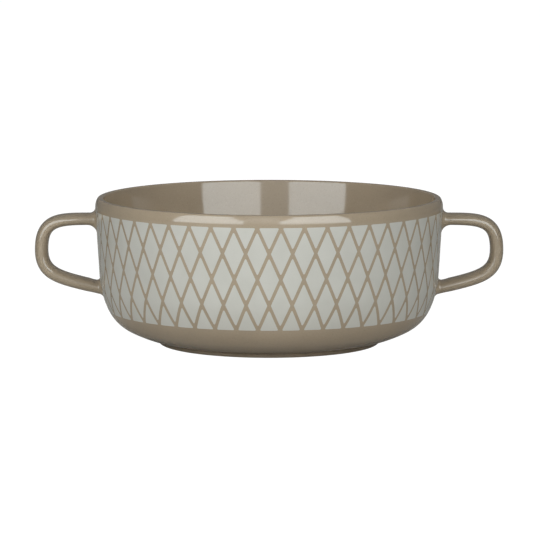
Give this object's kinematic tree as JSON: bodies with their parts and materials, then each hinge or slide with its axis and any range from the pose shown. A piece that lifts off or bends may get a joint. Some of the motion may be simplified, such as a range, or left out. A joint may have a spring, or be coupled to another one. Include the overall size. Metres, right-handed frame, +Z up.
{
  "type": "lug soup bowl",
  "caption": "Round glazed stoneware soup bowl with a low foot ring, a loop handle at each side and a printed lozenge band.",
  "frame": {"origin": "middle of the foot ring's tread, on the surface that the bowl stands on", "axes": "+Z up through the middle of the bowl; the handles point along +X and -X; the front faces -Y"},
  "size_m": [0.1822, 0.135, 0.0569],
  "materials": {
    "bowl_glaze": "gloss",
    "handle_glaze": "gloss",
    "slip_glaze": "gloss",
    "print": "gloss"
  },
  "bodies": {
    "root": {"bowl_body": "bowl_glaze", "right_handle": "handle_glaze", "left_handle": "handle_glaze", "right_upper_joint": "slip_glaze", "right_lower_joint": "slip_glaze", "left_upper_joint": "slip_glaze", "left_lower_joint": "slip_glaze", "front_print": "print", "back_print": "print"}
  },
  "joints": []
}
